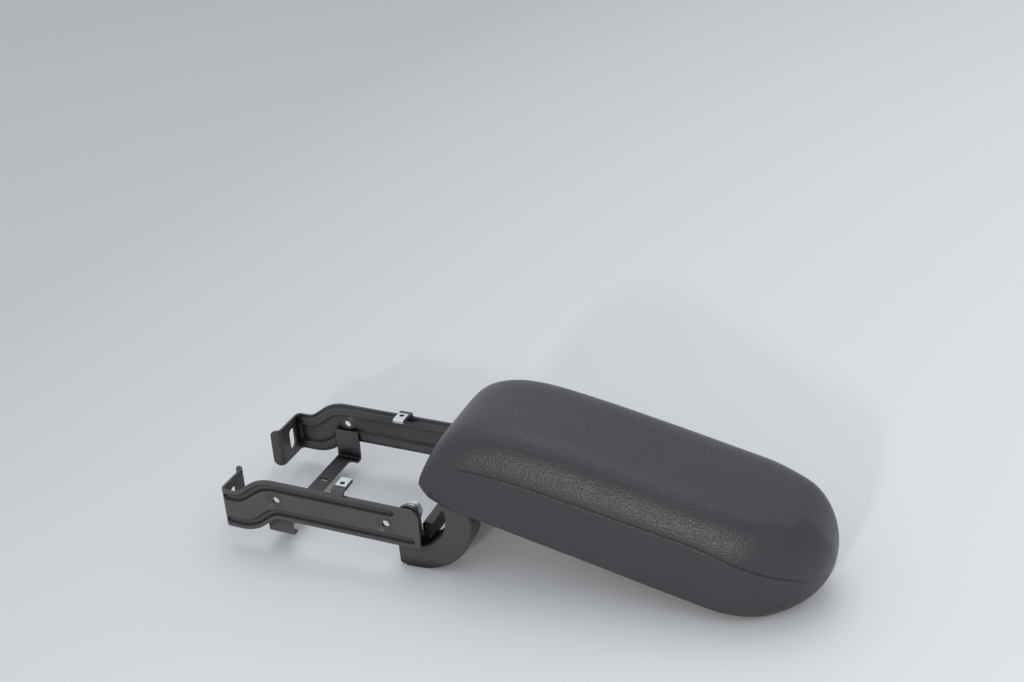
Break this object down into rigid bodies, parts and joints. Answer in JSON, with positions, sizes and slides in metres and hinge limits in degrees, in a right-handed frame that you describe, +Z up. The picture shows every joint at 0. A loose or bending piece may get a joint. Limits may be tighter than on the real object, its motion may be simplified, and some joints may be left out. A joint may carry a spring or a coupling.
{
  "type": "car centre armrest",
  "caption": "Padded car centre armrest with a seamed vinyl cover, on goose-neck friction hinges carried by a black pressed-steel side frame with stepped arms and a cross strap.",
  "frame": {"origin": "centre of the bounding box at the table surface on which the part lies", "axes": "+X from the bracket towards the pad's front, +Y to the far side, +Z up"},
  "size_m": [0.5084, 0.13, 0.1308],
  "materials": {
    "black_steel": "satin black paint",
    "zinc_steel": "bright zinc plate",
    "spring_steel": "phosphated spring steel",
    "friction_disc": "friction lining",
    "bush_brass": "plain bearing",
    "cheek_plastic": "fine matt moulding",
    "shell_plastic": "fine matt moulding",
    "cover_vinyl": "pebble-grained charcoal vinyl",
    "foam": "moulded cushion foam"
  },
  "bodies": {
    "frame": {"cross_strap": "black_steel", "side_arm_near": "black_steel", "clip_nut_near": "zinc_steel", "pivot_stud_near": "black_steel", "friction_washer_near": "friction_disc", "disc_springs_near": "spring_steel", "thrust_washers_near": "zinc_steel", "lock_nut_near": "zinc_steel", "side_arm_far": "black_steel", "clip_nut_far": "zinc_steel", "pivot_stud_far": "black_steel", "friction_washer_far": "friction_disc", "disc_springs_far": "spring_steel", "thrust_washers_far": "zinc_steel", "lock_nut_far": "zinc_steel"},
    "armrest": {"hinge_arm_near": "black_steel", "hinge_bush_near": "bush_brass", "hinge_cheek_near": "cheek_plastic", "hinge_arm_far": "black_steel", "hinge_bush_far": "bush_brass", "hinge_cheek_far": "cheek_plastic", "hinge_cross_web": "black_steel", "hinge_screws": "zinc_steel", "cheek_screws": "zinc_steel", "cover_top": "cover_vinyl", "cover_side": "cover_vinyl", "foam_pad": "foam", "base_shell": "shell_plastic", "bottom_cover": "shell_plastic", "bottom_cover_screws": "zinc_steel"}
  },
  "joints": [
    {"name": "armrest_hinge", "type": "hinge", "parent": "frame", "child": "armrest", "pos_m": [-0.07075, 0, 0.053], "axis": [0, -1, 0], "range_deg": [0, 75]}
  ]
}
